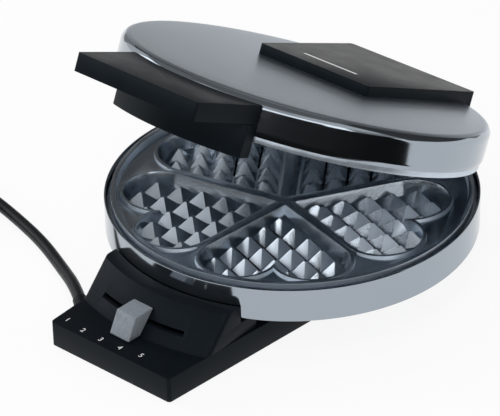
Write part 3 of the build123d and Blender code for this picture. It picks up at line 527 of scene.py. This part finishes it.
def makeInlay():
    deselect()
    bpy.ops.mesh.primitive_cube_add(size=1, location=bodyPoint(inlay["x"], inlay["y"],
                                                               body["lidBottom"] + inlay["rise"]))
    line = named(bpy.context.active_object, "standInlay")
    line.scale = (inlay["length"] * mm, inlay["width"] * mm, inlay["depth"] * mm)
    settle(line)
    settle(line, lidSwing())
    dress(line, finishes["paint"], "lid")


makeScale()
makeInlay()
print("scale and inlay made")

# Mains lead: the free stretch, the put-away coil and the tail to the plug, one line. The bends' points are
# x, y and the height above the lead's own radius. The coil winds inwards, climbs and winds outwards on top.

lead = dict(radius=3.4, exitY=-117.0, exitZ=7.6, exitTurn=35.0, glandShow=11.0, footFront=-142.9,
            footHalfFront=41.3, footHalfMiddle=50.0, droopReach=26.0, droop=0.4,
            bends=((-84.4, -90.6, 0.1), (-111.5, -78.2, 0), (-140.0, -69.6, 0)), approach=20.0)
coil = dict(middle=37.5, pitch=7.4, centre=(-200.0, -103.4), turns=4.48, climb=0.5, start=77.3, straight=8.0,
            ease=13.0, tail=40.0, perTurn=16, plugHeight=13.5)


def coilPoint(turn):
    angle = math.radians(coil["start"] + 360 * turn)
    past = turn - coil["turns"] / 2
    radius = coil["middle"] - coil["pitch"] * coil["turns"] / 4 + coil["pitch"] * abs(past)
    share = min(max(past / coil["climb"] + 0.5, 0), 1)
    height = lead["radius"] + coil["pitch"] * share * share * (3 - 2 * share)
    x, y = coil["centre"]
    return Vector((x + radius * math.cos(angle), y + radius * math.sin(angle), height))


def coilHeading(turn):
    step = 0.0001
    return (coilPoint(turn + step) - coilPoint(turn - step)).normalized()


def leadPoints():
    share = lead["exitY"] / lead["footFront"]
    half = lead["footHalfMiddle"] + (lead["footHalfFront"] - lead["footHalfMiddle"]) * share
    out = Vector((-math.cos(math.radians(lead["exitTurn"])), math.sin(math.radians(lead["exitTurn"])), 0))
    start = Vector((-half, lead["exitY"], lead["exitZ"]))
    heading = coilHeading(0)
    entry = coilPoint(0) - heading * coil["straight"]
    droop = Vector((0, 0, lead["droop"]))
    points = [start + out * lead["glandShow"], start + out * lead["droopReach"] - droop]
    points += [Vector((x, y, lead["radius"] + lift)) for x, y, lift in lead["bends"]]
    points += [entry - heading * lead["approach"], entry]
    count = math.ceil(coil["turns"] * coil["perTurn"])
    points += [coilPoint(coil["turns"] * k / count) for k in range(count + 1)]
    last = coilPoint(coil["turns"])
    level = coilHeading(coil["turns"])
    level.z = 0
    level.normalize()
    tail = Vector((last.x, last.y, coil["plugHeight"])) + level * coil["tail"]
    ease = level * coil["ease"]
    return points + [last + ease, tail - ease, tail, tail + level * coil["straight"]]


def makeLead():
    points = leadPoints()
    curve = bpy.data.curves.new("mainsLead", "CURVE")
    curve.dimensions = "3D"
    spline = curve.splines.new("NURBS")
    spline.points.add(len(points) - 1)
    for knot, point in zip(spline.points, points):
        knot.co = (*bodyPoint(*point), 1)
    spline.order_u = 3
    spline.use_endpoint_u = True
    spline.resolution_u = 6
    curve.bevel_depth = lead["radius"] * mm
    curve.bevel_resolution = 5
    curve.use_fill_caps = True
    obj = bpy.data.objects.new("mainsLead", curve)
    bpy.context.collection.objects.link(obj)
    curve.materials.append(finishes["sheath"])
    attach(obj, "base")
    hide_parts("power_cord", "cord_coil")
    length = sum((b - a).length for a, b in zip(points, points[1:]))
    print("lead control length", round(length))


makeLead()
print("lead made")

# Stage: a pale floor, soft lamps and the photograph's camera

stage = dict(floorSize=1.6, floorTone=0.85, floorRoughness=0.8, glow=0.9, world=0.45, lampAim=(0, 0, 60))


def cameraRay(nodes, links):
    # 1 for what the camera sees itself, in a mirror or through glass
    path = nodes.new("ShaderNodeLightPath")
    seen = nodes.new("ShaderNodeMath")
    seen.operation = "MAXIMUM"
    links.new(path.outputs["Is Camera Ray"], seen.inputs[0])
    glossy = nodes.new("ShaderNodeMath")
    glossy.operation = "MAXIMUM"
    links.new(path.outputs["Is Glossy Ray"], glossy.inputs[0])
    links.new(path.outputs["Is Transmission Ray"], glossy.inputs[1])
    links.new(glossy.outputs["Value"], seen.inputs[1])
    return seen.outputs["Value"]


def makeFloor():
    deselect()
    bpy.ops.mesh.primitive_plane_add(size=stage["floorSize"], location=(0, 0, 0))
    floor = named(bpy.context.active_object, "floor")
    material = bpy.data.materials.new("paleFloor")
    material.use_nodes = True
    nodes = material.node_tree.nodes
    links = material.node_tree.links
    shader = nodes["Principled BSDF"]
    shader.inputs["Base Color"].default_value = (*(stage["floorTone"],) * 3, 1)
    shader.inputs["Roughness"].default_value = stage["floorRoughness"]
    glow = nodes.new("ShaderNodeEmission")
    glow.inputs["Strength"].default_value = 1.0
    mix = nodes.new("ShaderNodeMixShader")
    share = nodes.new("ShaderNodeMath")
    share.operation = "MULTIPLY"
    share.inputs[1].default_value = stage["glow"]
    links.new(cameraRay(nodes, links), share.inputs[0])
    links.new(share.outputs["Value"], mix.inputs["Fac"])
    links.new(shader.outputs["BSDF"], mix.inputs[1])
    links.new(glow.outputs["Emission"], mix.inputs[2])
    links.new(mix.outputs["Shader"], nodes["Material Output"].inputs["Surface"])
    floor.data.materials.append(material)


def makeWorld():
    world = bpy.data.worlds.new("studio")
    bpy.context.scene.world = world
    world.use_nodes = True
    nodes = world.node_tree.nodes
    links = world.node_tree.links
    ambient = nodes["Background"]
    ambient.inputs["Strength"].default_value = stage["world"]
    ambient.inputs["Color"].default_value = (1, 1, 1, 1)
    white = nodes.new("ShaderNodeBackground")
    white.inputs["Strength"].default_value = 1.0
    white.inputs["Color"].default_value = (1, 1, 1, 1)
    mix = nodes.new("ShaderNodeMixShader")
    links.new(cameraRay(nodes, links), mix.inputs["Fac"])
    links.new(ambient.outputs["Background"], mix.inputs[1])
    links.new(white.outputs["Background"], mix.inputs[2])
    links.new(mix.outputs["Shader"], nodes["World Output"].inputs["Surface"])


lamps = [
    dict(name="leftLamp", place=(-1075, -440, 340), size=0.6, power=7.0),
    dict(name="topLamp", place=(-200, 200, 1300), size=1.0, power=5.0),
    dict(name="frontLamp", place=(320, -412, 600), size=0.36, power=1.6),
]


def makeLamps():
    for lamp in lamps:
        data = bpy.data.lights.new(lamp["name"], "AREA")
        data.size = lamp["size"]
        data.energy = lamp["power"]
        obj = bpy.data.objects.new(lamp["name"], data)
        bpy.context.collection.objects.link(obj)
        obj.location = bodyPoint(*lamp["place"])
        aim = bodyPoint(*stage["lampAim"]) - obj.location
        obj.rotation_euler = aim.to_track_quat("-Z", "Y").to_euler()
        obj.visible_glossy = False


# Studio cards that only the reflections show. Each is part of a ring about the body: low and high are the
# radius and height of its edges, first and last its azimuths, from straight ahead towards the right.
cards = [
    dict(name="nearCard", low=(270, 1), high=(500, 120), first=-40, last=97, tone=0.012),
    dict(name="darkCard", low=(830, 100), high=(830, 352), first=-45, last=55, tone=0.012),
    dict(name="darkCardRight", low=(830, 100), high=(830, 260), first=55, last=97, tone=0.012),
    dict(name="frontCard", low=(850, 200), high=(850, 520), first=-45, last=72, tone=2.2),
    dict(name="frontUpperCard", low=(850, 520), high=(700, 1100), first=-45, last=45, tone=0.6),
    dict(name="rightUpperCard", low=(850, 520), high=(700, 1100), first=45, last=105, tone=0.8),
    dict(name="rightCard", low=(850, 205), high=(850, 520), first=72, last=105, tone=0.4),
    dict(name="backRightCard", low=(850, 120), high=(700, 1100), first=105, last=170, tone=0.07),
    dict(name="leftCard", low=(850, 240), high=(850, 540), first=-86, last=-45, tone=2.4),
    dict(name="leftUpperCard", low=(850, 540), high=(700, 1100), first=-105, last=-45, tone=0.25),
    dict(name="leftSideCard", low=(850, 60), high=(850, 540), first=-105, last=-86, tone=0.7),
    dict(name="backCard", low=(800, -60), high=(800, 300), first=170, last=255, tone=0.29),
    dict(name="farCard", low=(800, 300), high=(700, 1000), first=170, last=255, tone=0.1),
]
cardRing = dict(sides=120, strip=1.0)
topCard = dict(height=1250, size=1.9, tone=0.2)


def cardFinish(obj, tone):
    material = bpy.data.materials.new(obj.name)
    material.use_nodes = True
    nodes = material.node_tree.nodes
    glow = nodes.new("ShaderNodeEmission")
    glow.inputs["Strength"].default_value = tone
    material.node_tree.links.new(glow.outputs["Emission"], nodes["Material Output"].inputs["Surface"])
    obj.data.materials.append(material)
    obj.visible_camera = False
    obj.visible_diffuse = False
    obj.visible_transmission = False
    obj.visible_shadow = False


def makeCard(card):
    # a narrow strip of a ring, drawn up to the card's upper edge and then cut to its azimuths
    (radius, low), upperEdge = card["low"], card["high"]
    start = low + cardRing["strip"]
    obj = openRing(card["name"], radius, low, start, cardRing["sides"])
    pickRim(obj, start, True)
    carryRim([(radius, start), upperEdge])
    mesh = editing(obj, "FACE")
    half = (card["last"] - card["first"]) / 2
    for face in mesh.faces:
        spot = face.calc_center_median() - bodyPoint(0, 0, 0)
        azimuth = math.degrees(math.atan2(spot.x, -spot.y))
        face.select_set(abs((azimuth - card["first"] - half + 180) % 360 - 180) > half)
    bmesh.update_edit_mesh(obj.data)
    bpy.ops.mesh.delete(type="FACE")
    doneEditing()
    cardFinish(obj, card["tone"])


def makeCards():
    for card in cards:
        makeCard(card)
    deselect()
    bpy.ops.mesh.primitive_plane_add(size=topCard["size"], location=bodyPoint(0, 0, topCard["height"]))
    cardFinish(settle(named(bpy.context.active_object, "topCard")), topCard["tone"])


# The camera looks at the body's middle, and the aim moves it sideways and up in its own picture plane, in mm
view = dict(azimuth=42.106, elevation=31.535, roll=-1.273, distance=1696.31, aimRight=-22.549, aimUp=27.967,
            lens=226.73, sensor=36.0)


def makeCamera():
    turn = math.radians(view["azimuth"])
    rise = math.radians(view["elevation"])
    roll = math.radians(view["roll"])
    back = Vector((math.sin(turn) * math.cos(rise), -math.cos(turn) * math.cos(rise), math.sin(rise)))
    right = Vector((math.cos(turn), math.sin(turn), 0))
    up = back.cross(right)
    offset = right * view["aimRight"] + up * view["aimUp"] + back * view["distance"]
    rolledRight = right * math.cos(roll) + up * math.sin(roll)
    rolledUp = -right * math.sin(roll) + up * math.cos(roll)
    data = bpy.data.cameras.new("camera")
    data.lens = view["lens"]
    data.sensor_width = view["sensor"]
    data.sensor_fit = "HORIZONTAL"
    data.clip_start = 0.05
    obj = bpy.data.objects.new("camera", data)
    bpy.context.collection.objects.link(obj)
    axes = Matrix((rolledRight, rolledUp, back)).transposed()
    obj.matrix_world = Matrix.Translation(bodyPoint(0, 0, 0) + offset * mm) @ axes.to_4x4()
    bpy.context.scene.camera = obj


makeFloor()
makeWorld()
makeLamps()
makeCards()
makeCamera()
print("stage set")
